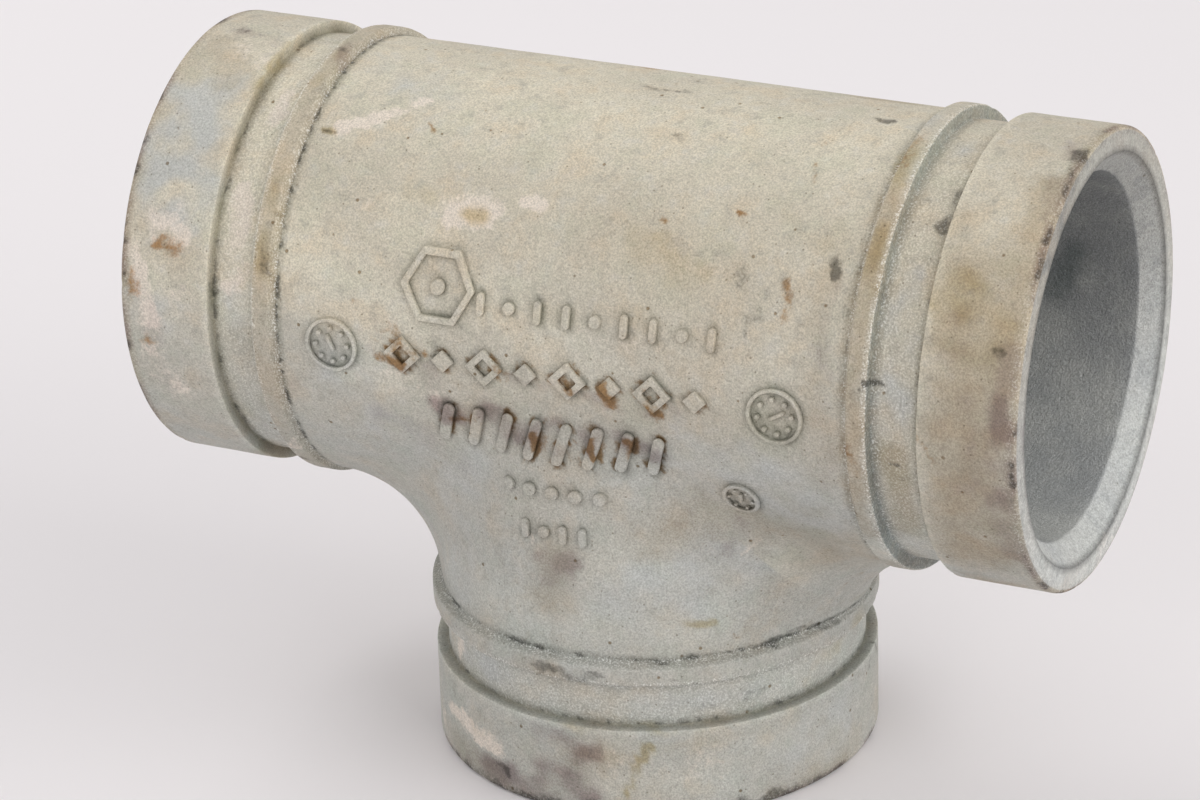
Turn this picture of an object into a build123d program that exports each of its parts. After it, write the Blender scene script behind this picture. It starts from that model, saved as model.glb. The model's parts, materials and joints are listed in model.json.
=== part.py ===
from build123d import *
import os

os.makedirs("parts", exist_ok=True)

# A grooved-end straight tee, cast in one piece, with raised foundry marks on its front.
# Millimetres, +Z up. The tee stands on its branch end, and the origin is the middle of
# that end's face. X runs along the two run ends, and the marks face -Y.

# Standard grooved end for a 73.0 mm pipe
centre_to_end = 76.2       # all three ends, from the crossing of the axes
pipe_radius = 36.5         # seat that a coupling's gasket seals on
seat_length = 15.88        # end face to groove
groove_width = 7.95
groove_radius = 34.55
edge_rounding = 0.8        # outer edge of each end face

# Body
barrel_radius = 35.5
belly_radius = 36.3        # the run barrel is this much deeper below its axis
neck_radius = 35.2         # branch barrel
bead_radius = 36.8         # shoulder behind each groove
bead_width = 4.1
bead_slope = 0.6           # how far the bead's inner side leans
bead_rounding = 0.5
groove_rounding = 0.35
crotch_radius = 19.5       # blend between the run and the neck

# Waterway
mouth_radius = 32.4        # where the inner bevel meets the end face
bore_radius = 28.95        # under the seat, the groove and the bead
bore_end = 30.0            # from the end face
core_start = 31.0          # the core is wider than the bores, so that the wall stays even
core_radius = 30.0
neck_core_radius = 29.8
core_rounding = 3.0        # inner corner between the run and the branch

# Foundry marks, raised from the front
mark_height = 0.7
stroke = 1.2               # width of a raised line

run_height = centre_to_end
groove_end = seat_length + groove_width
bead_end = groove_end + bead_width

# One plane for each end: its x goes inwards along the end's axis, its y is the radius.
end_planes = {
    "right": Plane(origin=(centre_to_end, 0, run_height), x_dir=(-1, 0, 0), z_dir=(0, 1, 0)),
    "left": Plane(origin=(-centre_to_end, 0, run_height), x_dir=(1, 0, 0), z_dir=(0, -1, 0)),
    "branch": Plane(origin=(0, 0, 0), x_dir=(0, 0, 1), z_dir=(0, 1, 0)),
}
across_run = Plane(origin=(0, 0, run_height), x_dir=(0, 1, 0), z_dir=(1, 0, 0))
front = Plane.XZ


def crossing_body(side_radius, below_radius, branch_radius, blend, inset):
    """The run and the branch as round bars with a round blend, cut short of each end by the inset."""
    with BuildPart() as body:
        with BuildSketch(across_run):
            with BuildLine():
                CenterArc((0, 0), side_radius, 0, 180)
                EllipticalCenterArc((0, 0), side_radius, below_radius, 180, arc_size=180)
            make_face()
        extrude(amount=centre_to_end, both=True)
        with BuildSketch():
            Circle(branch_radius)
        extrude(amount=run_height)
        ends = body.edges().filter_by(Plane.XY) + body.edges().filter_by(Plane.YZ)
        straight = body.edges().filter_by(GeomType.LINE)
        fillet(body.edges() - ends - straight, blend)
        with Locations((0, 0, inset)):
            Box(
                2 * (centre_to_end - inset),
                4 * barrel_radius,
                4 * barrel_radius,
                align=(Align.CENTER, Align.CENTER, Align.MIN),
                mode=Mode.INTERSECT,
            )
    return body.part


def barrel(swell):
    """The outside of the tee from bead to bead, swollen by a given thickness."""
    return crossing_body(
        barrel_radius + swell,
        belly_radius + swell,
        neck_radius + swell,
        crotch_radius - swell,
        groove_end + bead_rounding,
    )


def end_section():
    """Half section of one grooved end, from its axis out: seat, groove and bead."""
    with BuildSketch() as section:
        with BuildLine():
            Polyline(
                (0, 0),
                (0, pipe_radius),
                (seat_length, pipe_radius),
                (seat_length, groove_radius),
                (groove_end, groove_radius),
                (groove_end, bead_radius),
                (bead_end - bead_slope, bead_radius),
                (bead_end, groove_radius),
                (bead_end, 0),
                close=True,
            )
        make_face()
        fillet(section.vertices().sort_by_distance((0, pipe_radius))[0], edge_rounding)
        for depth in (seat_length, groove_end):
            fillet(section.vertices().sort_by_distance((depth, groove_radius))[0], groove_rounding)
        for depth in (groove_end, bead_end - bead_slope):
            fillet(section.vertices().sort_by_distance((depth, bead_radius))[0], bead_rounding)
    return section.sketch


def bore_section(widened_radius):
    """Half section of one bore, with its bevelled mouth and the cone where it widens into the core."""
    with BuildSketch() as section:
        with BuildLine():
            Polyline(
                (0, 0),
                (0, mouth_radius),
                (mouth_radius - bore_radius, bore_radius),
                (bore_end, bore_radius),
                (core_start, widened_radius),
                (core_start, 0),
                close=True,
            )
        make_face()
    return section.sketch


with BuildPart() as waterway:
    add(crossing_body(core_radius, core_radius, neck_core_radius, core_rounding, core_start))
    for end, plane in end_planes.items():
        with BuildSketch(plane):
            add(bore_section(neck_core_radius if end == "branch" else core_radius))
        revolve(axis=Axis(plane.origin, plane.x_dir))

with BuildPart() as tee_casting:
    add(barrel(0))
    for plane in end_planes.values():
        with BuildSketch(plane):
            add(end_section())
        revolve(axis=Axis(plane.origin, plane.x_dir))
    add(waterway.part, mode=Mode.SUBTRACT)
tee_casting.part.label = "tee_casting"
export_step(tee_casting.part, "parts/tee_casting.step")

with BuildPart() as mark_skin:
    add(barrel(mark_height))
    add(barrel(0), mode=Mode.SUBTRACT)


def badge(radius):
    """A plain six-sided frame with a pip in its middle."""
    with BuildSketch() as outline:
        RegularPolygon(radius, 6)
        RegularPolygon(radius - stroke, 6, mode=Mode.SUBTRACT)
        Circle(stroke)
    return outline.sketch


def dial(radius, pips, hand_angle):
    """A foundry's date dial: a rim, a ring of pips and one hand."""
    rim = stroke / 2
    with BuildSketch() as outline:
        Circle(radius)
        Circle(radius - rim, mode=Mode.SUBTRACT)
        with PolarLocations(0.62 * radius, pips, start_angle=hand_angle + 180 / pips):
            Circle(0.09 * radius)
        with PolarLocations(0.1 * radius, 1, start_angle=hand_angle):
            SlotOverall(0.65 * radius, rim)
    return outline.sketch


def bar_row(length, count, height):
    """Upright bars, with a pip in the place of every third one."""
    with BuildSketch() as outline:
        for place, spot in enumerate(GridLocations(length / (count - 1), 0, count, 1)):
            with Locations(spot):
                if place % 3 == 1:
                    Circle(0.8 * stroke)
                else:
                    SlotOverall(height, stroke, rotation=90)
    return outline.sketch


def lozenge_row(length, count, height):
    """Open lozenges, with small solid ones between them."""
    with BuildSketch() as outline:
        for place, spot in enumerate(GridLocations(length / (count - 1), 0, count, 1)):
            with Locations(spot):
                if place % 2:
                    RegularPolygon(0.3 * height, 4)
                else:
                    RegularPolygon(height / 2, 4)
                    RegularPolygon(height / 2 - 1.3 * stroke, 4, mode=Mode.SUBTRACT)
    return outline.sketch


def slanted_row(length, count, height, slant):
    """Heavy slanted strokes."""
    with BuildSketch() as outline:
        with GridLocations(length / (count - 1), 0, count, 1):
            SlotOverall(height, 1.5 * stroke, rotation=slant)
    return outline.sketch


def pip_row(length, count):
    """Round pips."""
    with BuildSketch() as outline:
        with GridLocations(length / (count - 1), 0, count, 1):
            Circle(0.9 * stroke)
    return outline.sketch


# Each mark's outline, and the x and z of its middle on the front.
foundry_marks = {
    "hexagon_badge": (badge(6.4), (-20, 87.6)),
    "left_dial": (dial(4.5, 8, 115), (-38.5, 75.6)),
    "right_dial": (dial(4.6, 8, 30), (37.2, 75.6)),
    "small_dial": (dial(3.0, 6, 80), (29.5, 58.5)),
    "upper_bar_row": (bar_row(39, 9, 3.6), (7, 86)),
    "middle_lozenge_row": (lozenge_row(50, 8, 6.4), (-1, 75.9)),
    "lower_slanted_row": (slanted_row(36, 8, 7.6, 72), (-1.5, 64.7)),
    "neck_pip_row": (pip_row(16, 5), (-1, 56)),
    "neck_bar_row": (bar_row(10, 4, 3.2), (-1, 49)),
}

for name, (outline, middle) in foundry_marks.items():
    with BuildPart() as mark:
        with BuildSketch(front):
            with Locations(middle):
                add(outline)
        extrude(amount=2 * barrel_radius)
        add(mark_skin.part, mode=Mode.INTERSECT)
    mark.part.label = name
    export_step(mark.part, f"parts/{name}.step")
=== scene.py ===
import json
from dataclasses import dataclass
from math import cos, pi, radians, sin, sqrt

import bmesh
import bpy
import numpy as np
from mathutils import Matrix, Vector, noise
from mathutils.bvhtree import BVHTree


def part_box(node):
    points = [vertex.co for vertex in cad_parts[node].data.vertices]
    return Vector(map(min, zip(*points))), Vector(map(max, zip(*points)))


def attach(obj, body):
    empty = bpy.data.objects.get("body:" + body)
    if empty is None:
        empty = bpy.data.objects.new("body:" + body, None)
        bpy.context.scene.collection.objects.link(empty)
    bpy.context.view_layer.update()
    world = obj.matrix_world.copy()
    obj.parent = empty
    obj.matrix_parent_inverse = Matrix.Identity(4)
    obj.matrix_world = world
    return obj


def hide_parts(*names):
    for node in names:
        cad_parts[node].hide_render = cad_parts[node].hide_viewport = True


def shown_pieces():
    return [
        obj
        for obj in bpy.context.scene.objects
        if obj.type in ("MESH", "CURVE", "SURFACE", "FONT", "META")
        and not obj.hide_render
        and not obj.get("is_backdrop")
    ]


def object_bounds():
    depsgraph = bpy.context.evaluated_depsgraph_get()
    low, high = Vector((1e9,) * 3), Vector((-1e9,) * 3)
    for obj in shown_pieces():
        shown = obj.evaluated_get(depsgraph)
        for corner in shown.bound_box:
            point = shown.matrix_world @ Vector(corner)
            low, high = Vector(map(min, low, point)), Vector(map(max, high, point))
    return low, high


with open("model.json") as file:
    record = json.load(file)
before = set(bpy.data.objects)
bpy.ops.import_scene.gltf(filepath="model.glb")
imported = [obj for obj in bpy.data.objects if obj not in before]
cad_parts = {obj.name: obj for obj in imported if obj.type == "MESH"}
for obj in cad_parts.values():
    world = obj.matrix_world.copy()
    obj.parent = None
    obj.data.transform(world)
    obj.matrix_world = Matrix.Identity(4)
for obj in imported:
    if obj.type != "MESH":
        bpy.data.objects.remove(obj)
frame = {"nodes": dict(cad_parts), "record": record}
cad_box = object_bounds()

# The tee fitting: one galvanised iron casting with raised marks on its front. The frame's
# own units are metres, and most sizes below are in millimetres, times MM.
MM = 0.001
BODY = "root"


# ---------------------------------------------------------------- studio

def add_camera():
    """The camera, at the photograph's angle."""
    turn, tilt, roll = radians(25.7), radians(24.6), radians(2.0)
    aim = Vector((-6.95, -4.47, 57.78)) * MM
    distance = 768.7 * MM
    back = Vector((sin(turn) * cos(tilt), -cos(turn) * cos(tilt), sin(tilt)))
    data = bpy.data.cameras.new("camera")
    data.sensor_width = 36.0
    data.lens = 142.6
    camera = bpy.data.objects.new("camera", data)
    bpy.context.scene.collection.objects.link(camera)
    upright = back.to_track_quat("Z", "Y").to_matrix().to_4x4()
    camera.matrix_world = (
        Matrix.Translation(aim + distance * back) @ upright @ Matrix.Rotation(-roll, 4, "Z")
    )
    bpy.context.scene.camera = camera


def add_softbox(name, turn, lift, power):
    """One square studio softbox, aimed at the object. It stands turn degrees round from the
    front, towards +X, and lift degrees up."""
    distance = 1.4
    turn, lift = radians(turn), radians(lift)
    back = Vector((sin(turn) * cos(lift), -cos(turn) * cos(lift), sin(lift)))
    data = bpy.data.lights.new(name, "AREA")
    data.shape = "SQUARE"
    data.size = 1.2
    data.energy = power
    light = bpy.data.objects.new(name, data)
    bpy.context.scene.collection.objects.link(light)
    light.location = Vector((0, 0, 60 * MM)) + distance * back
    light.rotation_mode = "QUATERNION"
    light.rotation_quaternion = back.to_track_quat("Z", "Y")


def add_floor():
    """A pale paper floor."""
    mesh = bpy.data.meshes.new("floor")
    half = 4.0
    corners = [(-half, -half, 0), (half, -half, 0), (half, half, 0), (-half, half, 0)]
    mesh.from_pydata(corners, [], [(0, 1, 2, 3)])
    floor = bpy.data.objects.new("floor", mesh)
    bpy.context.scene.collection.objects.link(floor)
    paper = bpy.data.materials.new("paper")
    paper.use_nodes = True
    shader = paper.node_tree.nodes["Principled BSDF"]
    shader.inputs["Base Color"].default_value = (0.86, 0.83, 0.84, 1)
    shader.inputs["Roughness"].default_value = 0.9
    mesh.materials.append(paper)
    floor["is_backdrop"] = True


def add_studio():
    """A pale floor, pale surroundings and four softboxes."""
    add_floor()
    world = bpy.data.worlds.new("studio")
    world.use_nodes = True
    background = world.node_tree.nodes["Background"]
    background.inputs["Color"].default_value = (1.0, 0.98, 0.985, 1)
    background.inputs["Strength"].default_value = 0.4
    bpy.context.scene.world = world

    add_softbox("right_front_softbox", turn=71, lift=25, power=9.3)
    add_softbox("right_back_softbox", turn=116, lift=35, power=5.0)
    add_softbox("left_back_softbox", turn=251, lift=40, power=8.4)
    add_softbox("left_front_softbox", turn=-19, lift=25, power=5.2)
    bpy.context.scene.view_settings.view_transform = "Standard"


# ---------------------------------------------------------------- sizes

mounts = {mount["name"]: mount for mount in frame["record"]["mounts"]}
centre_to_end = cad_box[1].x
run_height = mounts["right_seat"]["pos_m"][2]
pipe_radius = mounts["right_seat"]["dims"]["r_mm"] * MM
groove_radius = mounts["right_groove"]["dims"]["r_mm"] * MM
groove_width = mounts["right_groove"]["dims"]["length_mm"] * MM
bore_radius = mounts["right_bore"]["dims"]["r_mm"] * MM
mouth_radius = 32.4 * MM
bead_radius = cad_box[1].y

# Depths from the end face
bevel_end = mouth_radius - bore_radius
seat_length = centre_to_end - mounts["right_groove"]["pos_m"][0] - groove_width / 2
groove_end = seat_length + groove_width
bead_top = groove_end + 0.5 * MM
bead_shoulder = groove_end + 3.3 * MM
bead_turn = bead_shoulder - 0.4 * MM    # where the bead's rings get closer, to turn its corner
bead_foot = groove_end + 4.1 * MM
bore_end = 30.0 * MM
core_start = 31.0 * MM


@dataclass
class Skin:
    """Two crossing round walls and the round blend between them."""

    side: float         # run radius
    below: float        # run radius straight down
    branch: float       # branch radius
    blend: float        # blend radius
    along: int          # cells from a run end to the blend
    down: int           # cells from the blend to the branch end
    ring_depths: tuple  # depths of the rings next to each end


outer_skin = Skin(
    side=35.5 * MM,
    below=36.3 * MM,
    branch=35.2 * MM,
    blend=19.5 * MM,
    along=50,
    down=46,
    ring_depths=(
        *np.linspace(bead_top, bead_turn, 4, endpoint=False),
        *np.linspace(bead_turn, bead_foot + 0.3 * MM, 9),
    ),
)
inner_skin = Skin(
    side=30.0 * MM,
    below=30.0 * MM,
    branch=29.8 * MM,
    blend=3.0 * MM,
    along=15,
    down=13,
    ring_depths=(core_start,),
)
HALF_ROUND = 112    # cells round half of the branch
OVER_TOP = 120      # cells over the top of the run


# ---------------------------------------------------------------- casting mesh

def bead_profile(depth):
    """Radius of the raised bead at a depth from its end face, before it sinks into the body."""
    rounding = 0.2 * MM
    slope = (bead_radius - groove_radius) / (bead_foot - bead_shoulder)
    side_radius = bead_radius - slope * (depth - bead_shoulder)
    return -rounding * np.logaddexp(-bead_radius / rounding, -side_radius / rounding)


def swell_to_bead(points, centre, depth):
    """Points round an axis, pushed out to the bead's radius where they lie inside it."""
    softness = 0.12 * MM
    spokes = points - centre
    radii = np.linalg.norm(spokes, axis=-1)
    target = softness * np.logaddexp(radii / softness, bead_profile(depth) / softness)
    return centre + spokes * (target / radii)[..., None]


def blend_frame(skin, angle):
    """Ball centre of the blend, the run's and the branch's normals, for a point round the run."""
    touch = np.array([0, -skin.side * cos(angle), run_height - skin.below * sin(angle)])
    run_normal = np.array([0, -cos(angle) / skin.side, -sin(angle) / skin.below])
    run_normal /= np.linalg.norm(run_normal)
    centre = touch + skin.blend * run_normal
    reach = skin.branch + skin.blend
    centre[0] = sqrt(max(reach**2 - centre[1] ** 2, 0.0))
    branch_normal = np.array([centre[0], centre[1], 0]) / reach
    return centre, run_normal, branch_normal


def front_angle(skin):
    """How far below the horizontal the blend starts, at the front of the run."""
    halvings = 60
    low, high = 0.0, pi / 4
    for _ in range(halvings):
        middle = (low + high) / 2
        if blend_frame(skin, middle)[0][0] > 0:
            high = middle
        else:
            low = middle
    return low


def crotch_line(skin, angle, share):
    """One line of the skin, along the run, round the blend and down the branch, as points.
    share is 0 where the line's corner is at the start of the blend, and 1 at its middle."""
    centre, run_normal, branch_normal = blend_frame(skin, angle)
    turn = np.arccos(np.clip(run_normal @ branch_normal, -1, 1))
    across = branch_normal - (run_normal @ branch_normal) * run_normal
    across /= np.linalg.norm(across)
    half = skin.blend * turn / 2

    def place(way):
        """Points at given ways along the line, counted from the middle of the blend."""
        way = np.asarray(way, float)
        swing = (np.clip(way, -half, half) + half) / skin.blend
        points = centre - skin.blend * (
            np.cos(swing)[:, None] * run_normal + np.sin(swing)[:, None] * across
        )
        points[:, 0] += np.maximum(-half - way, 0)
        points[:, 2] -= np.maximum(way - half, 0)
        return points

    reach, samples = 2.5 * centre_to_end, 20001
    ways = np.linspace(-reach, reach, samples)
    dense = place(ways)
    ring_depths = np.array(skin.ring_depths)
    run_ways = np.interp(ring_depths - centre_to_end, -dense[:, 0], ways)
    branch_ways = np.interp(-ring_depths, -dense[:, 2], ways)
    corner = -half * (1 - share)
    return place(
        np.concatenate(
            [
                run_ways[:-1],
                np.linspace(run_ways[-1], corner, skin.along, endpoint=False),
                np.linspace(corner, branch_ways[-1], skin.down, endpoint=False),
                branch_ways[::-1],
            ]
        )
    )


def crotch_sheet(skin):
    """The right half of the skin under the front angle, as a grid of points: lines from the
    front to the back, each from the run's end to the branch's."""
    steps = 2000            # angles tried, to space the lines evenly round the branch
    sliding_lines = 10      # lines over which the corner slides to the middle of the blend
    table = np.linspace(front_angle(skin), pi / 2, steps)
    centres = np.array([blend_frame(skin, angle)[0] for angle in table])
    round_branch = np.arctan2(centres[:, 0], -centres[:, 1])
    quarter = HALF_ROUND // 2
    angles = np.interp(np.linspace(0, pi / 2, quarter + 1), round_branch, table)
    shares = np.minimum(np.arange(quarter + 1) / sliding_lines, 1)
    quarter_lines = [crotch_line(skin, a, s) for a, s in zip(angles, shares)]
    mirror = np.array([1, -1, 1])
    return np.array(quarter_lines + [line * mirror for line in quarter_lines[-2::-1]])


def top_sheet(skin):
    """The skin over the top of the run, from the front to the back."""
    front = front_angle(skin)
    rises = np.linspace(-front, pi + front, OVER_TOP + 1)
    heights = np.where(np.sin(rises) < 0, skin.below, skin.side)
    across = -skin.side * np.cos(rises)
    up = run_height + heights * np.sin(rises)
    end_x = centre_to_end - np.array(skin.ring_depths)
    half_x = np.concatenate([end_x[:-1], np.linspace(end_x[-1], 0, skin.along, endpoint=False)])
    x = np.concatenate([half_x, [0], -half_x[::-1]])
    grid = np.empty((OVER_TOP + 1, len(x), 3))
    grid[..., 0] = x
    grid[..., 1] = across[:, None]
    grid[..., 2] = up[:, None]
    return grid


def skin_sheets(skin, beads):
    """The right, left and top grids of one skin, with the beads swollen out of it if asked for."""
    right = crotch_sheet(skin)
    top = top_sheet(skin)
    if beads:
        for ring, depth in enumerate(skin.ring_depths):
            run_centre = np.array([centre_to_end - depth, 0, run_height])
            branch_centre = np.array([0, 0, depth])
            right[:, ring] = swell_to_bead(right[:, ring], run_centre, depth)
            right[:, -1 - ring] = swell_to_bead(right[:, -1 - ring], branch_centre, depth)
            top[:, ring] = swell_to_bead(top[:, ring], run_centre, depth)
            top[:, -1 - ring] = top[:, ring] * [-1, 1, 1]
    left = right * [-1, 1, 1]
    return right, left, top


def end_rings(sheets):
    """The closed ring of points at the right, left and branch ends of a skin."""
    right, left, top = sheets
    return {
        "right": np.concatenate([right[:, 0], top[::-1, 0][1:]]),
        "left": np.concatenate([left[:, 0], top[::-1, -1][1:]]),
        "branch": np.concatenate([right[:, -1], left[::-1, -1][1:]]),
    }


def end_profile():
    """The (depth, radius) points of one grooved end, from the bead's top over the groove,
    the seat and the face into the bore."""

    def arc(depth, radius, size, start, stop, cells):
        swing = np.radians(np.linspace(start, stop, cells + 1))
        return list(zip(depth + size * np.cos(swing), radius + size * np.sin(swing)))

    def straight(start, stop, cells):
        steps = np.linspace(0, 1, cells + 1)[1:-1]
        return [tuple(np.add(start, np.multiply(np.subtract(stop, start), t))) for t in steps]

    crest = 0.5 * MM        # rounding of the bead's corner
    foot = 0.35 * MM        # rounding of the groove's corners
    worn = 0.25 * MM        # wear of the sharp edges
    edge = 0.8 * MM         # rounding of the end face's outer edge
    lip = 0.05 * MM         # how far the bevel stops short of the bore
    stretches = [
        arc(groove_end + crest, bead_radius - crest, crest, 90, 180, cells=4)[1:],
        arc(groove_end - foot, groove_radius + foot, foot, 0, -90, cells=3),
        arc(seat_length + foot, groove_radius + foot, foot, -90, -180, cells=3),
        arc(seat_length - worn, pipe_radius - worn, worn, 0, 90, cells=3),
        arc(edge, pipe_radius - edge, edge, 90, 180, cells=5),
        arc(worn, mouth_radius + worn, worn, 180, 225, cells=2),
        [(bevel_end - worn, bore_radius + worn), (bevel_end, bore_radius + lip)],
        [(bevel_end + worn, bore_radius), (bore_end, bore_radius)],
    ]
    cells_between = [2, 6, 2, 12, 3, 4, 1]
    points = list(stretches[0])
    for stretch, cells in zip(stretches[1:], cells_between):
        points += straight(points[-1], stretch[0], cells) + stretch
    bore = straight(points[-2], points[-1], cells=14)
    return points[:-1] + bore + points[-1:]


def end_grid(end, outer_ring, inner_ring):
    """Rings from the outer skin, round one end's profile, to the inner skin."""
    if end == "branch":
        origin, inwards = np.zeros(3), np.array([0, 0, 1])
        first, second = np.array([0, -1, 0]), np.array([1, 0, 0])
    else:
        side = 1 if end == "right" else -1
        origin, inwards = np.array([side * centre_to_end, 0, run_height]), np.array([-side, 0, 0])
        first, second = np.array([0, -1, 0]), np.array([0, 0, -1])

    def ring_angles(ring):
        spokes = ring - origin
        return np.unwrap(np.arctan2(spokes @ second, spokes @ first))

    profile = end_profile()
    start, stop = ring_angles(outer_ring), ring_angles(inner_ring)
    rings = [outer_ring]
    for index, (depth, radius) in enumerate(profile):
        share = (index + 1) / (len(profile) + 1)
        angles = start + (stop - start) * share
        spokes = np.cos(angles)[:, None] * first + np.sin(angles)[:, None] * second
        rings.append(origin + depth * inwards + radius * spokes)
    rings.append(inner_ring)
    return np.array(rings)


def grids_to_mesh(name, grids):
    """One closed mesh from grids of points that meet along their borders."""
    weld = 0.002 * MM
    points, faces = [], []
    for grid in grids:
        rows, columns = grid.shape[:2]
        index = np.arange(rows * columns).reshape(rows, columns) + sum(len(p) for p in points)
        points.append(grid.reshape(-1, 3))
        corners = [index[:-1, :-1], index[1:, :-1], index[1:, 1:], index[:-1, 1:]]
        faces.append(np.stack(corners, axis=-1).reshape(-1, 4))
    mesh = bpy.data.meshes.new(name)
    mesh.from_pydata(np.concatenate(points).tolist(), [], np.concatenate(faces).tolist())
    work = bmesh.new()
    work.from_mesh(mesh)
    bmesh.ops.remove_doubles(work, verts=work.verts, dist=weld)
    bmesh.ops.recalc_face_normals(work, faces=work.faces)
    work.to_mesh(mesh)
    work.free()
    mesh.shade_smooth()
    return mesh


def make_casting():
    """The casting: outer skin, inner skin and the three ends between them."""
    outer = skin_sheets(outer_skin, beads=True)
    inner = skin_sheets(inner_skin, beads=False)
    outer_rings, inner_rings = end_rings(outer), end_rings(inner)
    ends = [end_grid(end, outer_rings[end], inner_rings[end]) for end in outer_rings]
    return grids_to_mesh("casting", [*outer, *inner, *ends])


def read_points(mesh):
    """A mesh's points and their normals, as arrays."""
    points, normals = np.empty((2, len(mesh.vertices) * 3))
    mesh.vertices.foreach_get("co", points)
    mesh.vertices.foreach_get("normal", normals)
    return points.reshape(-1, 3), normals.reshape(-1, 3)


def roughen(mesh):
    """Cast waviness and shallow pits. Points only move into the metal, so the size stays true."""
    wave_size, pock_size = 14 * MM, 2.4 * MM
    wave_depth, pock_depth, pock_rarity = 0.05, 0.5, 0.45       # depths in millimetres
    points, normals = read_points(mesh)
    waves = np.array([noise.fractal(point, 0.6, 2.2, 3) for point in points / wave_size])
    pocks = np.array([noise.noise(point) for point in points / pock_size])
    sink = wave_depth * (1 + np.clip(waves, -1, 1))
    sink += pock_depth * np.clip(pocks - pock_rarity, 0, None)
    points -= normals * (sink * MM)[:, None]
    mesh.vertices.foreach_set("co", points.ravel())
    mesh.update()


# ---------------------------------------------------------------- marks

SOFT_EDGE = 1.25    # soft edges are full for 0.25 of their width, and gone at 1.25 of it


def surface(mesh):
    """A mesh's surface, to measure distances to."""
    return BVHTree.FromPolygons(
        [vertex.co for vertex in mesh.vertices], [polygon.vertices[:] for polygon in mesh.polygons]
    )


def soften(node):
    """A copy of a CAD node's mesh, remeshed evenly and smoothed."""
    mesh = node.data.copy()
    mesh.name = node.name + "_cast"
    scratch = bpy.data.objects.new("scratch", mesh)
    bpy.context.scene.collection.objects.link(scratch)
    remesh = scratch.modifiers.new("remesh", "REMESH")
    remesh.mode = "VOXEL"
    remesh.voxel_size = 0.14 * MM
    smooth = scratch.modifiers.new("smooth", "SMOOTH")
    smooth.iterations = 4
    smooth.factor = 0.5
    depsgraph = bpy.context.evaluated_depsgraph_get()
    soft = bpy.data.meshes.new_from_object(scratch.evaluated_get(depsgraph), depsgraph=depsgraph)
    bpy.data.objects.remove(scratch)
    bpy.data.meshes.remove(mesh)
    return soft


def make_mark(node, body_surface):
    """A foundry mark with cast-soft edges, from its CAD node, with its foot flared and sunk
    into the body, and how near its foot each of its points is."""
    flare_height, flare = 0.35 * MM, 0.28 * MM
    base_height, root = 0.06 * MM, 0.3 * MM
    # How high grime and painted shade reach up a mark from its foot.
    grime_and_shade_height = 0.4 * MM
    soft = soften(node)
    points, normals = read_points(soft)
    nearest = [body_surface.find_nearest(point)[:2] for point in points]
    places, ups = (np.array(column) for column in zip(*nearest))
    heights = ((points - places) * ups).sum(axis=1)
    outs = normals - (normals * ups).sum(axis=1)[:, None] * ups
    low = 1 - np.clip(heights / flare_height, 0, 1)
    points += flare * (low * low)[:, None] * outs - root * (heights < base_height)[:, None] * ups
    soft.vertices.foreach_set("co", points.ravel())
    soft.update()
    soft.shade_smooth()
    return soft, np.clip(SOFT_EDGE - heights / grime_and_shade_height, 0, 1)


# ---------------------------------------------------------------- stains, painted shade and painted glints

DEGREE = pipe_radius / MM * pi / 180     # length of one degree round a pipe, in millimetres

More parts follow.
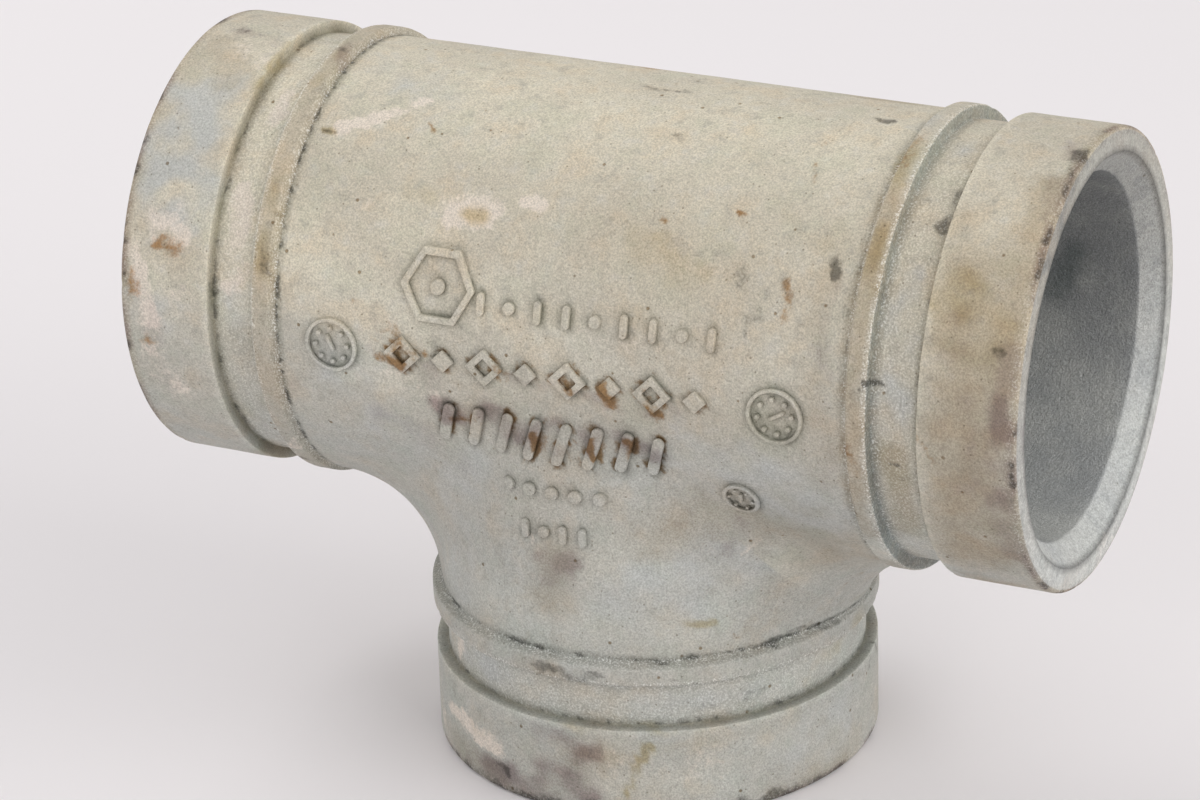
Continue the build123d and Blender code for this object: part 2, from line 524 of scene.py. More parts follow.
# Where the casting is stained. Strokes on the run go from (x, turn) to (x, turn), where turn
# is in degrees from the top towards the front. Strokes on the branch go from (turn, z) to
# (turn, z), where turn is in degrees from the front towards +X. Then come width and strength.
# All lengths are in millimetres.
RUN_STROKES = {
    "pale": [
        (-44, 70, -30, 84, 10, 0.8), (-40, 4, 40, 4, 6, 0.4), (-67, 62, -62, 60, 6, 0.6),
        (-38, 20, -20, 26, 9, 0.4), (-30, 60, -22, 56, 7, 0.4), (56, 2, 56, 20, 3.5, 0.4),
        (-56, 2, -56, 88, 4.2, 1.0), (-12, 72, 8, 88, 6, 0.5), (-36, 96, -30, 98, 4, 0.9),
        (-62, 8, -62, 30, 3, 0.4), (-72, 76, -68, 90, 4, 0.5),
    ],
    "tan": [
        (68, 66, 68, 122, 9, 1.0), (66, 50, 72, 46, 7, 0.7), (74, 22, 74, 60, 4, 0.8),
        (50, 34, 50, 122, 2.6, 0.8), (56, 98, 56, 122, 3.5, 1.0), (56, 50, 56, 98, 3.0, 0.3),
        (10, 98, 44, 96, 6, 0.3), (62, 50, 62, 122, 3, 0.3), (73, 84, 73, 100, 3, 0.6),
        (-14, 102, 10, 104, 7, 0.2), (8, 52, 26, 56, 9, 0.2), (43, 44, 43, 110, 3, 0.3),
        (62, 36, 62, 60, 3, 0.4), (-73, 20, -73, 40, 3, 0.35), (74, 66, 74, 122, 3.5, 0.8),
        (-72, 12, -62, 28, 4, 0.5), (-68, 68, -66, 74, 4, 0.4),
    ],
    "dirt": [
        (-27, 3, 42, 1, 0.8, 0.5), (-3, 2, 5, 2, 0.9, 0.8), (39, 1.5, 43, 1.5, 0.8, 0.8),
        (-11, 12, -9, 14, 1.4, 0.5), (11, 21, 13, 23, 1.3, 0.5), (18, 27, 20, 27, 1.0, 0.5),
        (43.5, 50, 43.5, 54, 1.2, 0.95), (29, 57, 33, 66, 2.6, 0.45),
        (31.5, 68, 31.5, 73, 0.7, 0.8), (65, 8, 68, 8, 2.5, 0.45), (74, 8, 75, 18, 2.0, 1.0),
        (75.7, 20, 75.8, 46, 0.9, 0.7), (-59.5, 80, -59.5, 83, 1.3, 0.9),
        (-73, 24, -71, 26, 1.3, 0.6), (59.3, 26, 59.3, 37, 1.6, 0.85),
        (47.5, 61, 47.5, 68, 1.1, 0.6), (54.5, 88, 54.6, 88, 0.8, 0.9),
        (56, 100, 56.1, 100, 0.8, 0.9), (72, 66, 73, 66, 1.0, 0.6), (3, 48, 10, 48, 0.5, 0.5),
        (15, 49, 18, 51, 0.5, 0.5), (-50, 60, -50, 78, 1.4, 0.5), (38, 88, 40, 96, 2.0, 0.35),
        (-24, 84, -16, 88, 1.0, 0.4), (-46, 35.6, -44.6, 35, 0.7, 0.9),
        (-72, 3, -66, 5, 1.2, 0.6), (-51, 7, -49, 9, 1.0, 0.6), (52.6, 78, 52.8, 78, 0.7, 1.0),
    ],
    "rust": [
        (15, 46, 16.5, 46, 1.1, 0.9), (27, 42, 27.3, 42, 0.8, 0.8),
        (-28, 30, -27.8, 30, 0.8, 0.8), (-35, 78, -34.6, 78, 0.8, 0.9),
        (35, 10, 36, 28, 0.9, 0.55), (37, 57, 37, 65, 1.1, 0.75), (50, 8, 50, 22, 1.4, 0.5),
        (50.4, 95, 50.4, 103, 1.2, 0.8), (-29, 86, -24, 88, 2.4, 1.0),
        (-30, 92, -26, 93, 1.6, 0.8), (-10, 91, -8, 92, 1.2, 0.8), (2, 91, 3, 93, 1.4, 1.1),
        (8.6, 91, 9.6, 93, 1.5, 1.1), (16.4, 92, 17.6, 94, 1.6, 1.2),
        (-17, 106, -14, 107, 1.3, 0.7), (-3.4, 107, -2.2, 109, 1.5, 1.1),
        (6, 105, 6.8, 110, 1.3, 1.2), (11.8, 106, 12.4, 110, 1.3, 1.2),
        (-69, 70, -67, 72, 1.7, 0.75), (-74.5, 84, -73.5, 87, 1.5, 0.8),
        (-72, 97, -71, 98, 1.0, 0.8), (61, 90, 63, 94, 1.5, 0.6), (-75, 77, -74.2, 86, 1.2, 0.8),
        (-69.4, 69, -68.8, 70, 0.9, 1.0),
    ],
    "chalk": [
        (-44, 34, -38, 29, 1.1, 1.4), (-38, 28, -31, 21, 1.0, 1.4),
        (-19.4, 51.5, -14.8, 51, 3.6, 1.3), (-7.6, 47.5, -5.6, 47, 1.8, 1.1),
        (-73.6, 74, -71.6, 92, 2.6, 1.0), (-70, 66, -66, 69, 3.0, 0.8),
        (-36, 53, -34, 53, 1.4, 0.6), (-56, 20, -56, 36, 1.9, 0.9),
        (-56.5, 54, -56.5, 80, 2.8, 0.9), (-28, 98, -22, 102, 4.0, 0.45),
        (-72, 100, -68, 112, 4.0, 0.5), (-66, 62, -66, 84, 2.6, 0.45),
        (-64, 4, -62, 18, 2.4, 0.4), (3, 77, 22, 76, 3.0, 0.25), (-67, 12, -67, 16, 3.0, 0.4),
        (20, 57, 27, 56, 3.4, 0.3),
    ],
    "olive": [
        (-28, 48, -24, 50, 3.0, 0.6), (12, 53, 22, 57, 5.0, 0.55),
        (-50.4, 8, -50.4, 25, 1.8, 0.6), (-50.4, 48, -50.4, 80, 2.0, 0.7),
        (50, 15, 50, 56, 2.2, 0.95), (-67, 27, -65, 27, 2.2, 0.6), (64, 53, 71, 61, 5.0, 0.8),
        (66, 64, 69, 67, 4.0, 0.5), (61, 57, 63, 62, 3.0, 0.7), (-60.5, 5, -60.5, 48, 0.8, 0.8),
        (36, 40, 41, 46, 3.0, 0.35), (-2, 74, 20, 70, 4.0, 0.3), (24, 20, 30, 36, 6.0, 0.25),
        (-17, 52, -15.4, 52.5, 2.4, 0.9), (-46, 35.6, -44.6, 35, 0.9, 1.4),
        (-56, 96, -56, 122, 5.0, 0.5),
    ],
    "purple": [
        (-20, 105, 16, 107, 3.8, 0.85), (-29, 88, -22, 96, 4.0, 0.4), (74, 66, 74, 122, 3.2, 0.5),
        (-12, 92, 20, 95, 2.0, 0.45), (-46, 85, -46, 105, 2.0, 0.3), (45, 55, 45, 110, 2.4, 0.35),
        (-74, 70, -70, 110, 3.4, 0.35), (57, 24, 57, 60, 3.0, 0.25), (66, 62, 68, 100, 5.0, 0.35),
        (-30, 110, -20, 120, 5.0, 0.4), (-34, 2, -26, 6, 2.0, 0.3), (-72, 3, -62, 8, 2.2, 0.6),
        (-51, 4, -49, 13, 1.6, 0.6), (73, 4, 75, 30, 2.0, 0.7), (74, 80, 74, 104, 3.2, 1.1),
    ],
    "blue": [
        (-68, 34, -68, 57, 9.0, 1.1), (56, 52, 56, 88, 3.2, 0.9), (-41, 8, -30, 20, 6.0, 0.5),
        (-38, 95, -30, 118, 8.0, 0.6), (48.5, 2, 56, 10, 3.0, 0.6), (-74, 88, -66, 92, 5.0, 0.5),
        (24, 106, 42, 122, 9.0, 0.8), (-56, 84, -56, 120, 3.2, 0.6),
    ],
}
BRANCH_STROKES = {
    "pale": [
        (-45, 34, 40, 34, 6, 0.5), (52, 20, 84, 20, 3, 0.8), (14, 44, 30, 44, 6, 0.5),
        (46, 10, 80, 10, 4, 0.2), (10, 5, 40, 6, 4, 0.4), (-2, 44, 2, 50, 4, 0.3),
    ],
    "tan": [
        (-18, 2, 4, 3, 3, 0.2), (-5, 4, 6, 12, 5, 0.25), (-4, 37, -1, 45, 4.5, 0.6),
        (-40, 3, -22, 2, 4, 0.6), (60, 36, 78, 42, 7, 0.2), (-12, 25, -2, 25, 2, 0.5),
        (44, 50, 52, 56, 5, 0.4), (55, 1, 80, 2, 2.5, 0.6),
    ],
    "dirt": [
        (-9, 25.2, 11, 25.0, 1.3, 0.6), (28, 24.4, 36, 24.2, 0.9, 0.75),
        (33, 18, 60, 20, 2.0, 0.4), (45, 40, 80, 58, 4.5, 0.28), (45, 0.6, 78, 0.6, 1.5, 0.9),
        (14, 48, 22, 46, 2.5, 0.25), (20, 27.9, 85, 27.9, 0.6, 0.6),
        (54, 27.9, 80, 28.0, 0.8, 0.9), (-22, 5, -18, 4, 1.0, 0.7), (-36, 0.6, 8, 0.6, 1.7, 1.0),
    ],
    "rust": [
        (46, 31, 46.8, 31, 0.8, 1.0), (14, 1, 15, 2.5, 1.0, 0.9), (-42, 36, -40, 38, 1.0, 0.3),
    ],
    "chalk": [
        (-46, 8, -36, 8.5, 2.0, 0.9), (-35, 9, -21, 8, 2.4, 1.0), (-46, 19, -42, 21, 1.6, 0.8),
        (10, 10, 40, 10, 5.0, 0.25), (-60, 12, -52, 4, 3.0, 0.4),
    ],
    "olive": [
        (-30, 10, 60, 14, 3.0, 0.4), (70, 18, 88, 24, 3.0, 0.6), (-8, 16.2, 40, 16.2, 0.9, 0.7),
        (0, 30, 24, 31, 3.0, 0.3), (28, 34.2, 40, 33.6, 0.9, 1.1), (15, 2.5, 19, 9, 1.1, 1.9),
        (19, 9, 22, 13, 1.0, 1.7),
    ],
    "purple": [
        (-5, 44, 3, 44, 3.2, 0.6), (-5, 41, 1, 40, 3.8, 0.5), (-4, 36, -2, 34, 2.5, 0.35),
        (-4, 13, 6, 12, 3.6, 0.8), (-6, 7, 5, 7, 3.4, 0.7), (-30, 2, 6, 2.5, 4.2, 1.0),
        (-12, 50, 2, 50, 3.0, 0.35), (-5, 56, 5, 57, 2.0, 0.3), (-48, 24, -30, 26, 1.4, 0.4),
        (10, 2, 44, 1.5, 2.0, 0.3), (72, 24, 84, 40, 3.0, 0.25),
    ],
    "blue": [
        (14, 35, 50, 46, 9.0, 0.7), (-38, 34, -30, 60, 8.0, 0.6), (-40, 20, -20, 20, 3.0, 0.8),
        (60, 6, 80, 10, 7.0, 0.7), (20, 20, 60, 20, 3.0, 0.5),
    ],
}
BORE_STROKES = [(59, 263, 61.5, 279, 3.2, 0.75)]     # a smudge inside the right-hand bore
FIRST_RUN_TURN = -15        # turns count on from here, once round
FIRST_BRANCH_TURN = -64
KINDS = tuple(RUN_STROKES)
BROAD_KINDS = ("pale", "tan")

# How much grime and painted shade, and how much rust, the foot of each mark has.
MARK_FOOT_GRIME_SHADE_AND_RUST = {
    "hexagon_badge": (0.75, 0.0),
    "left_dial": (0.55, 0.0),
    "right_dial": (0.6, 0.1),
    "small_dial": (0.45, 0.0),
    "upper_bar_row": (0.75, 0.1),
    "middle_lozenge_row": (0.9, 0.75),
    "lower_slanted_row": (1.0, 1.0),
    "neck_pip_row": (0.6, 0.1),
    "neck_bar_row": (0.7, 0.15),
}

# Where on the casting its regions are, in millimetres
BRANCH_WALL = 37.5          # all of the branch is nearer than this to its axis
BRANCH_RINGS_TOP = 45       # below this height, depths are from the branch's end face
BRANCH_STROKES_TOP = 62     # below this height, strokes on the branch show
HOLLOW = 32.5               # all of the waterway is nearer than this to an axis


def scattered_strokes(rng, count, low, high, reach):
    """More strokes at random between two corners, for the sides that have no listed ones.
    Some are narrow, some are twice as wide, and some are smears five times as wide."""
    spread = {kind: [] for kind in KINDS}
    for index in range(count):
        first = rng.uniform(low, high)
        second = first + rng.uniform(-1, 1, 2) * reach
        kind = KINDS[index % len(KINDS)]
        width = rng.uniform(0.6, 1.0) * rng.choice([1.0, 2.0, 5.0])
        if kind in BROAD_KINDS:
            width = 3 + 2 * width
        spread[kind].append((*first, *second, width, rng.uniform(0.35, 0.8)))
    return spread


def unroll_run(strokes):
    """Strokes on the run, with their turns as millimetres on its surface."""
    return [(x1, t1 * DEGREE, x2, t2 * DEGREE, w, s) for x1, t1, x2, t2, w, s in strokes]


def unroll_branch(strokes):
    """Strokes on the branch, with their turns as millimetres on its surface."""
    return [(t1 * DEGREE, z1, t2 * DEGREE, z2, w, s) for t1, z1, t2, z2, w, s in strokes]


def brush(across, along, strokes):
    """How strongly each point, in millimetres on the unrolled surface, is covered by strokes."""
    cover = np.zeros(len(across))
    for x1, y1, x2, y2, width, strength in strokes:
        dx, dy = x2 - x1, y2 - y1
        share = ((across - x1) * dx + (along - y1) * dy) / (dx * dx + dy * dy)
        share = np.clip(share, 0, 1)
        gap = np.hypot(across - x1 - share * dx, along - y1 - share * dy)
        fade = np.clip(SOFT_EDGE - gap / width, 0, 1)
        cover = np.maximum(cover, strength * fade * fade * (3 - 2 * fade))
    return cover


def bell(values, middle, width):
    """1 at the middle, falling away either side."""
    return np.exp(-(((values - middle) / width) ** 2))


def wander(points, size, reach):
    """A smooth random offset for each point, in the same units as its size and reach."""
    apart = 40 * np.eye(3)      # so far apart that the three offsets aren't alike
    drifts = [[noise.noise(point) for point in points / size + shift] for shift in apart]
    return reach * np.transpose(drifts)


def patches(points, size):
    """A smooth random number for each point, about 0 to 1."""
    return np.clip([0.5 + noise.noise(point) for point in points / size], 0, 1)


def ring_stains_and_light(points, depth, on_branch, end_radius):
    """Stains, painted shade and painted glints that follow the rings at each end: grime and painted
    shade in the corners, bare steps, glints along the grooves, beads and faces' edges, and lighter
    along the top of the run.
    Points, depths and radii are in millimetres."""
    pipe, bead = pipe_radius / MM, bead_radius / MM
    seat, groove, foot = seat_length / MM, groove_end / MM, bead_foot / MM

    broken = np.clip(2.4 * patches(points, 6.0) - 0.5, 0, 1)
    flecks = np.clip(3.0 * patches(points, 1.6) - 1.3, 0, 1)
    steady = 0.65 + 0.5 * broken
    on_run = ~on_branch
    left_end = points[:, 0] < 0
    # Grime and painted shade in the corner at each bead's foot, half as strong at the right-hand end
    # of the run.
    foot_grime_and_shade = bell(depth, foot + 0.1, 0.45) * np.where(on_branch | left_end, 1.0, 0.5)

    in_groove = np.clip((pipe - 0.5 - end_radius) / 1.3, 0, 1)
    # Painted shade and grime down each groove's seat wall.
    seat_wall = bell(depth, seat + 0.15, 0.35) * in_groove
    # Wear with a painted highlight: a pale line along each seat's edge.
    seat_edge = bell(depth, seat - 0.15, 0.25) * (end_radius > pipe - 0.5)
    bead_wall = bell(depth, groove, 0.45) * (end_radius < bead - 0.3)
    bead_corner = bell(depth, groove + 0.35, 0.35) * (end_radius > bead - 0.5)
    face_edge = bell(depth, 0.5, 0.7) * (end_radius > pipe - 0.9)
    groove_floor = (depth > seat + 0.6) & (depth < groove - 0.4)
    on_bead = (depth > groove + 0.4) & (depth < foot)
    crest = np.clip((points[:, 2] - 103) / 8, 0, 1) * (depth > foot)

    # Painted glints: bright specks along the grooves, the beads, the faces' edges and the groove
    # floors.
    glint = bell(depth, groove - 0.5, 0.5) + bell(depth, foot - 0.3, 0.5)
    glint = glint + bell(depth, seat + 0.9, 0.4) + bead_corner
    glint = glint + 0.35 * face_edge + 0.3 * groove_floor
    corner_flecks = flecks * (foot_grime_and_shade + 0.8 * bell(depth, seat + 0.4, 0.4))
    # crease is grime and painted shade in the corners; the olive ring on each seat wall is olive grime
    # with painted shade.
    return {
        "crease": np.clip(0.75 * seat_wall * steady + 0.62 * foot_grime_and_shade * steady, 0, 1),
        "tan": np.maximum(0.45 * on_bead * left_end, 0.8 * face_edge) * on_run,
        "olive": 0.6 * bell(depth, seat + 0.1, 0.4) * in_groove,
        "steel": bead_wall,
        "glint": np.clip(glint, 0, 1),
        "dirt": corner_flecks + 0.9 * flecks * broken * face_edge,
        "purple": 0.9 * face_edge * broken,
        "pale": np.maximum.reduce([0.35 * groove_floor, 0.55 * crest, 0.7 * seat_edge]),
    }


def write_stains_and_light(mesh, foot):
    """Writes where the stains of each kind, painted shade and painted glints, the bores and the
    mouths' faces are, as mesh attributes.
    foot says how near the foot of a raised mark a point is, times how much grime and painted shade and
    how much rust it has."""

    def write(name, values):
        layer = mesh.attributes.new(name, "FLOAT", "POINT")
        layer.data.foreach_set("value", np.asarray(values, np.float32))

    points = read_points(mesh)[0] / MM
    x, y, z = points.T
    rise = z - run_height / MM
    run_radius, branch_radius = np.hypot(y, rise), np.hypot(x, y)
    in_branch = branch_radius < BRANCH_WALL
    on_branch = in_branch & (z < BRANCH_RINGS_TOP)
    hollow = (run_radius < HOLLOW) | (branch_radius < HOLLOW) & (rise < 0)
    depth = np.where(on_branch, z, centre_to_end / MM - np.abs(x))
    end_radius = np.where(on_branch, branch_radius, run_radius)
    lines = ring_stains_and_light(points, depth, on_branch, end_radius)

    blotchy = 0.25 + 1.1 * patches(points, 4.5)
    grimy_and_shaded, rusty = foot
    # Grime and painted shade round the feet of the marks.
    lines["crease"] = np.maximum(lines["crease"], grimy_and_shaded * blotchy)
    lines["rust"] = 1.3 * rusty * np.clip(3.5 * patches(points, 2.2) - 1.4, 0, 1)
    lines["purple"] = np.maximum(lines["purple"], 0.5 * rusty)

    x, y, z = (points + wander(points, size=5.0, reach=1.5) + wander(points, size=1.7, reach=0.7)).T
    turn = np.degrees(np.arctan2(-y, z - run_height / MM))
    turn = np.where(turn < FIRST_RUN_TURN, turn + 360, turn)
    round_branch = np.degrees(np.arctan2(x, -y))
    round_branch = np.where(round_branch < FIRST_BRANCH_TURN, round_branch + 360, round_branch)
    rng = np.random.default_rng(7)
    back_of_run = scattered_strokes(rng, 150, low=(-75, 125), high=(75, 345), reach=(5, 10))
    back_of_branch = scattered_strokes(rng, 60, low=(86, 1), high=(310, 60), reach=(14, 4))
    for kind in KINDS:
        run_strokes = unroll_run(RUN_STROKES[kind] + back_of_run[kind])
        branch_strokes = unroll_branch(BRANCH_STROKES[kind] + back_of_branch[kind])
        on_run = brush(x, turn * DEGREE, run_strokes) * ~on_branch
        round_it = brush(round_branch * DEGREE, z, branch_strokes)
        round_it = round_it * in_branch * (z < BRANCH_STROKES_TOP)
        uneven = 0.75 + 0.25 * blotchy if kind in BROAD_KINDS else blotchy
        cover = np.maximum(on_run, round_it) * uneven
        write(kind, np.maximum(cover, lines.pop(kind, 0)) * ~hollow)
    smudge = brush(x, turn * DEGREE, unroll_run(BORE_STROKES))
    lines["crease"] = np.where(hollow, smudge, lines["crease"])
    for kind, cover in lines.items():
        write(kind, cover)

    bevel = bevel_end / MM
    write("inside", hollow * np.where(depth > bevel - 0.1, 1.0, 0.35))
    rim = (depth < bevel + 0.1) * (end_radius < pipe_radius / MM - 0.6)
    write("rim", rim * np.where(depth > 0.3, 1.0, 0.8))
    # Painted shade: a dark line along the edge between each mouth's face and its bevel.
    write("edge", bell(end_radius, mouth_radius / MM + 0.1, 0.3) * (depth < 0.5))


def near_marks(mesh, marks):
    """How much grime and painted shade, and how much rust, each point of the casting has, for being
    near the foot of a mark.
    """
    reach, fade = 1.6 * MM, 0.5
    points = read_points(mesh)[0]
    grimy_and_shaded, rusty = np.zeros((2, len(points)))
    for name, mark in marks.items():
        low, high = (np.array(corner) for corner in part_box(name))
        tree = surface(mark)
        beside = np.all((points > low - reach) & (points < high + reach), axis=1)
        for index in np.flatnonzero(beside):
            gap = tree.find_nearest(points[index], reach)[3]
            if gap is not None:
                near = bell(gap / MM, 0, fade)
                grimy_and_shaded[index] = max(grimy_and_shaded[index], near * MARK_FOOT_GRIME_SHADE_AND_RUST[name][0])
                rusty[index] = max(rusty[index], near * MARK_FOOT_GRIME_SHADE_AND_RUST[name][1])
    return grimy_and_shaded, rusty


# ---------------------------------------------------------------- material

def tone(red, green, blue):
    """A colour given as 0 to 255 display values, as the linear one that shaders use."""
    return tuple(pow(value / 255, 2.2) for value in (red, green, blue)) + (1.0,)


class Graph:
    """Adds nodes to a material and joins them up."""

    def __init__(self, material):
        material.use_nodes = True
        self.nodes = material.node_tree.nodes
        self.links = material.node_tree.links
        self.place = self.nodes.new("ShaderNodeTexCoord").outputs["Object"]

    def feed(self, socket, value):
        """Links another node's output to a socket, or sets the socket to a plain value."""
        if isinstance(value, bpy.types.NodeSocket):
            self.links.new(value, socket)
        else:
            socket.default_value = value

    def noise(self, size, detail, rough):
        """Smooth noise with features of a size in millimetres."""
        node = self.nodes.new("ShaderNodeTexNoise")
        self.feed(node.inputs["Vector"], self.place)
        node.inputs["Scale"].default_value = 1 / (size * MM)
        node.inputs["Detail"].default_value = detail
        node.inputs["Roughness"].default_value = rough
        return node.outputs["Fac"]

    def attribute(self, name):
        """The number that each point of a mesh has under a name."""
        node = self.nodes.new("ShaderNodeAttribute")
        node.attribute_name = name
        return node.outputs["Fac"]

    def math(self, operation, first, second):
        """A sum, product or the like of two values."""
        node = self.nodes.new("ShaderNodeMath")
        node.operation = operation
        self.feed(node.inputs[0], first)
        self.feed(node.inputs[1], second)
        return node.outputs[0]

    def between(self, value, low, high, start=0.0, stop=1.0):
        """start below low, stop above high, and smooth between."""
        node = self.nodes.new("ShaderNodeMapRange")
        node.interpolation_type = "SMOOTHSTEP"
        limits = {"From Min": low, "From Max": high, "To Min": start, "To Max": stop}
        for name, number in limits.items():
            node.inputs[name].default_value = number
        self.feed(node.inputs["Value"], value)
        return node.outputs["Result"]

    def mix(self, share, first, second, way="MIX"):
        """The first colour where share is 0, and the second where it is 1."""
        node = self.nodes.new("ShaderNodeMix")
        node.data_type = "RGBA"
        node.blend_type = way
        self.feed(node.inputs[0], share)
        self.feed(node.inputs[6], first)
        self.feed(node.inputs[7], second)
        return node.outputs[2]

    def tint(self, share, colour, filter_colour):
        """The colour as seen through a filter, where share is 1."""
        if isinstance(filter_colour, tuple):
            filter_colour = (*filter_colour, 1.0)
        return self.mix(share, colour, filter_colour, "MULTIPLY")

    def speckle(self, spacing, rarity, core, edge):
        """Round specks at random: 1 within core and 0 past edge, as shares of their spacing,
        which is in millimetres. The higher the rarity, up to 1, the fewer there are."""
        cells = self.nodes.new("ShaderNodeTexVoronoi")
        self.feed(cells.inputs["Vector"], self.place)
        cells.inputs["Scale"].default_value = 1 / (spacing * MM)
        split = self.nodes.new("ShaderNodeSeparateColor")
        self.feed(split.inputs[0], cells.outputs["Color"])
        chosen = self.between(split.outputs["Red"], rarity, rarity + 0.02)
        speck = self.between(cells.outputs["Distance"], core, edge, 1, 0)
        return self.math("MULTIPLY", speck, chosen)

    def ragged(self, kind, grain, reach, low, high):
        """Where a kind of stain lies, with edges broken up by a noise."""
        spread = self.math("MULTIPLY", grain, reach)
        return self.between(self.math("ADD", self.attribute(kind), spread), low, high)

    def bump(self, height, distance, strength, below=None):
        """The surface's normal, bumped by a height of up to a distance in millimetres."""
        node = self.nodes.new("ShaderNodeBump")
        node.inputs["Strength"].default_value = strength
        node.inputs["Distance"].default_value = distance * MM
        self.feed(node.inputs["Height"], height)
        if below is not None:
            self.feed(node.inputs["Normal"], below)
        return node.outputs["Normal"]


# Noises that the zinc's look is made from: size in millimetres, detail and roughness
GRAINS = {
    "sand": (0.3, 2.0, 0.6),
    "fine": (1.1, 4.0, 0.65),
    "blotch": (3.2, 5.0, 0.65),
    "tinge": (8.0, 3.0, 0.6),
    "cloud": (13.0, 4.0, 0.6),
    "drift": (34.0, 2.0, 0.5),
}
# Filters that stains, wear and painted shade lay over the zinc, as linear multipliers
FILTERS = {
    "green": (0.95, 0.975, 0.96),
    "pink": (1.02, 0.975, 0.93),
    "mottle": (0.92, 0.915, 0.91),
    "tan": (0.76, 0.69, 0.60),
    "pale": (1.22, 1.23, 1.22),
    "olive": (0.76, 0.68, 0.50),
    "purple": (0.58, 0.51, 0.53),
    "dirt": (0.34, 0.34, 0.33),
    "rust": (0.55, 0.36, 0.19),
    "rim mottle": (0.76, 0.76, 0.77),
    "rim cloud": (0.78, 0.79, 0.81),
    "steel": (0.56, 0.62, 0.66),
    # grime and painted shade in the corners
    "crease": (0.34, 0.36, 0.33),
    "freckle": (0.50, 0.42, 0.32),
    "mote": (0.60, 0.58, 0.54),
    "bore smudge": (0.40, 0.45, 0.46),
    # painted shade along the edge between each mouth's face and its bevel
    "edge": (0.42, 0.42, 0.42),
}


def weathered_zinc_and_light(graph, grain, height):
    """The zinc under its stains, with painted light from above: greyer low down, lighter and warmer
    high up, and cloudy all over.
    """
    # Painted light from above: lighter and warmer high up, greyer low down.
    drifting = graph.math("ADD", height, graph.math("MULTIPLY", grain["drift"], 0.035))
    painted_top_light = graph.between(drifting, 0.07, 0.118)
    colour = graph.mix(painted_top_light, tone(190, 191, 185), tone(217, 209, 190))
    colour = graph.mix(graph.between(grain["cloud"], 0.35, 0.7, 0, 0.4), colour, tone(198, 190, 174))
    light, dark = (0.5, 0.75, 0, 0.45), (0.3, 0.47, 0.45, 0)
    colour = graph.mix(graph.between(grain["blotch"], *light), colour, tone(216, 213, 205))
    colour = graph.mix(graph.between(grain["blotch"], *dark), colour, tone(170, 166, 156))
    colour = graph.tint(graph.between(grain["tinge"], 0.5, 0.68), colour, FILTERS["green"])
    colour = graph.tint(graph.between(grain["tinge"], 0.32, 0.5, 1, 0), colour, FILTERS["pink"])
    mottled = graph.tint(1.0, colour, FILTERS["mottle"])
    return graph.mix(graph.between(grain["fine"], 0.35, 0.65), mottled, colour)


def stained(graph, grain, colour, clean):
    """The zinc with the stains that its mesh says it has, and blue-grey where it is clean."""
    for kind in ("tan", "pale"):
        colour = graph.tint(graph.attribute(kind), colour, FILTERS[kind])
    colour = graph.mix(graph.math("MULTIPLY", clean, 0.75), colour, tone(189, 192, 191))
    chalk = graph.ragged("chalk", grain["fine"], 1.2, 0.8, 1.4)
    colour = graph.mix(graph.math("MULTIPLY", chalk, 0.75), colour, tone(238, 226, 213))
    for kind, breaker, reach, low, high in (
        ("olive", "blotch", 0.9, 0.5, 1.8),
        ("purple", "blotch", 0.9, 0.55, 1.6),
        ("dirt", "fine", 1.3, 0.9, 1.6),
        ("rust", "fine", 1.5, 0.9, 1.7),
    ):
        share = graph.ragged(kind, grain[breaker], reach, low, high)
        colour = graph.tint(share, colour, FILTERS[kind])
    return colour


def worn_metal_and_light(graph, grain, colour, height, freckles):
    """Grey rims round the mouths, lighter low down and darker high up as painted light and shade, bare
    steel, grime and painted shade in the corners, specks and painted glints.
    """
    fine = grain["fine"]
    # Painted light and shade: the rims are lighter low down and darker high up.
    rim = graph.mix(graph.between(height, 0.048, 0.106), tone(222, 225, 223), tone(158, 161, 160))
    rim = graph.tint(graph.between(fine, 0.38, 0.6, 1, 0), rim, FILTERS["rim mottle"])
    rim = graph.tint(graph.between(grain["blotch"], 0.36, 0.5, 1, 0), rim, FILTERS["rim cloud"])
    colour = graph.mix(graph.math("MULTIPLY", graph.attribute("rim"), 0.75), colour, rim)
    steel_grain = graph.between(fine, 0.3, 0.6, 0.6, 1.0)
    steel = graph.math("MULTIPLY", graph.attribute("steel"), steel_grain)
    colour = graph.tint(steel, colour, FILTERS["steel"])
    # Grime and painted shade in the corners and round the marks' feet.
    crease_grain = graph.between(fine, 0.25, 0.6, 0.55, 1.0)
    crease = graph.math("MULTIPLY", graph.attribute("crease"), crease_grain)
    colour = graph.tint(crease, colour, FILTERS["crease"])
    colour = graph.tint(freckles, colour, FILTERS["freckle"])
    motes = graph.speckle(1.1, 0.8, 0.1, 0.2)
    colour = graph.tint(motes, colour, FILTERS["mote"])
    # Painted glints: near-white specks where the mesh has glint.
    glints = graph.math("MULTIPLY", graph.between(grain["sand"], 0.52, 0.66), graph.attribute("glint"))
    return graph.mix(graph.math("MULTIPLY", glints, 0.6), colour, tone(245, 246, 243))


def bore_metal(graph, grain, height):
    """The waterway's bare grey metal, with painted light: lighter low down, on its floor."""
    bare = graph.mix(
        graph.between(grain["cloud"], 0.35, 0.65), tone(142, 144, 144), tone(162, 163, 160)
    )
    bare = graph.tint(graph.attribute("crease"), bare, FILTERS["bore smudge"])
    # Painted light: the bore is lighter low down, on its floor.
    painted_floor_light = graph.nodes.new("ShaderNodeVectorMath")
    painted_floor_light.operation = "SCALE"
    graph.feed(painted_floor_light.inputs[0], bare)
    graph.feed(painted_floor_light.inputs["Scale"], graph.between(height, 0.045, 0.085, 1.65, 1.0))
    return painted_floor_light.outputs[0]


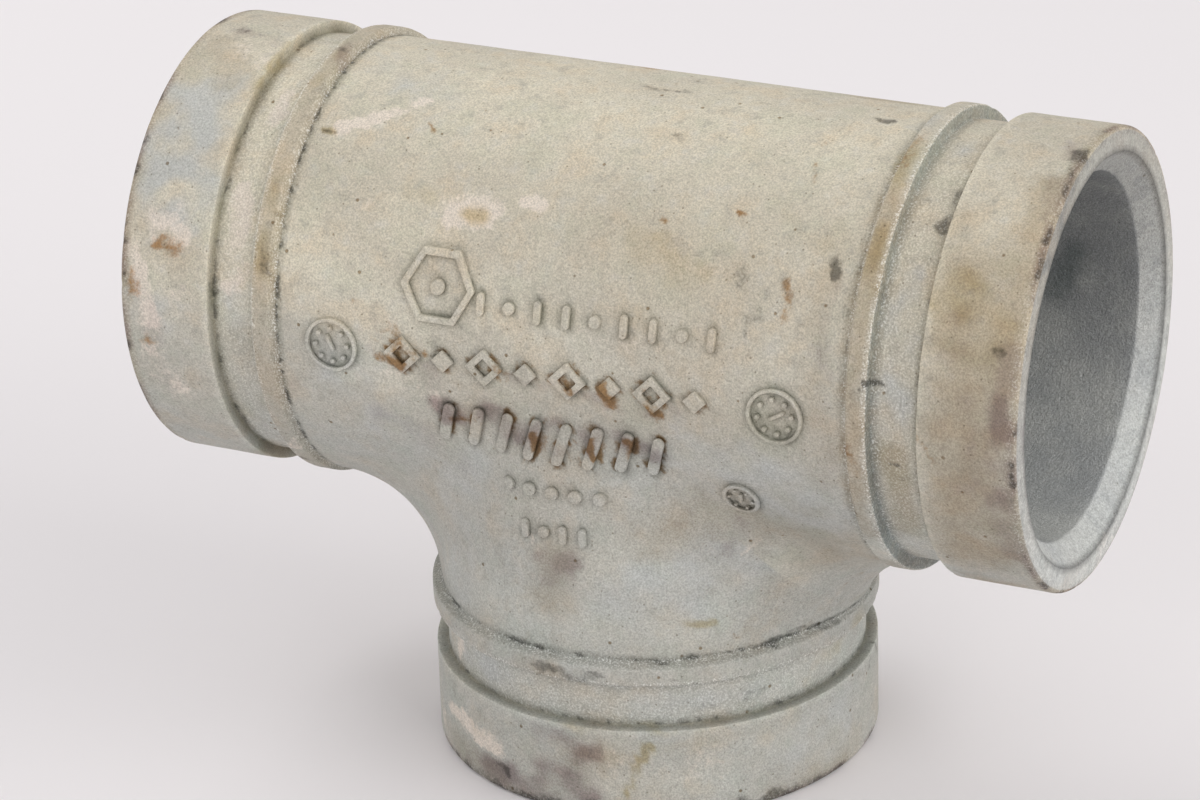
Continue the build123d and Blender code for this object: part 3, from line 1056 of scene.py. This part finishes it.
def zinc_material():
    """Aged hot-dip zinc on a sand casting, and the bare grey metal of its bores, with painted light,
    shade and glints.
    """
    material = bpy.data.materials.new("galvanised_iron")
    graph = Graph(material)
    shader = graph.nodes["Principled BSDF"]
    grain = {name: graph.noise(*look) for name, look in GRAINS.items()}
    position = graph.nodes.new("ShaderNodeSeparateXYZ")
    graph.feed(position.inputs[0], graph.place)
    height = position.outputs["Z"]
    clean = graph.ragged("blue", grain["blotch"], 0.9, 0.4, 1.7)
    freckles = graph.speckle(2.6, 0.87, 0.07, 0.15)

    colour = weathered_zinc_and_light(graph, grain, height)
    colour = stained(graph, grain, colour, clean)
    colour = worn_metal_and_light(graph, grain, colour, height, freckles)
    colour = graph.mix(graph.attribute("inside"), colour, bore_metal(graph, grain, height))
    # Painted shade along the edge between each mouth's face and its bevel.
    colour = graph.tint(graph.attribute("edge"), colour, FILTERS["edge"])
    dim, bright = (0.71, 0.71, 0.70, 1), (1.09, 1.09, 1.09, 1)
    sandy = graph.mix(graph.between(grain["sand"], 0.25, 0.75), dim, bright)
    graph.feed(shader.inputs["Base Color"], graph.tint(1.0, colour, sandy))

    graph.feed(shader.inputs["Roughness"], graph.between(clean, 0, 1, 0.62, 0.42))
    shader.inputs["Metallic"].default_value = 0.15
    shader.inputs["Specular IOR Level"].default_value = 0.4
    coarse = graph.bump(grain["fine"], 0.34, 0.65)
    pits = graph.bump(freckles, -0.2, 0.6, coarse)
    graph.feed(shader.inputs["Normal"], graph.bump(grain["sand"], 0.18, 0.8, pits))
    return material


# ---------------------------------------------------------------- the scene

def add_piece(name, mesh, node):
    """A finished piece that stands for a CAD node."""
    piece = bpy.data.objects.new(name, mesh)
    bpy.context.scene.collection.objects.link(piece)
    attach(piece, BODY)
    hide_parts(node)


add_camera()
add_studio()
zinc = zinc_material()

casting_mesh = make_casting()
roughen(casting_mesh)
add_piece("casting", casting_mesh, "tee_casting")
body_surface = surface(casting_mesh)
marks = {}
for name, node in frame["nodes"].items():
    if name != "tee_casting":
        marks[name], foot = make_mark(node, body_surface)
        add_piece(name + "_cast", marks[name], name)
        write_stains_and_light(marks[name], [foot * share for share in MARK_FOOT_GRIME_SHADE_AND_RUST[name]])
write_stains_and_light(casting_mesh, near_marks(casting_mesh, marks))
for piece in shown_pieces():
    piece.data.materials.clear()
    piece.data.materials.append(zinc)
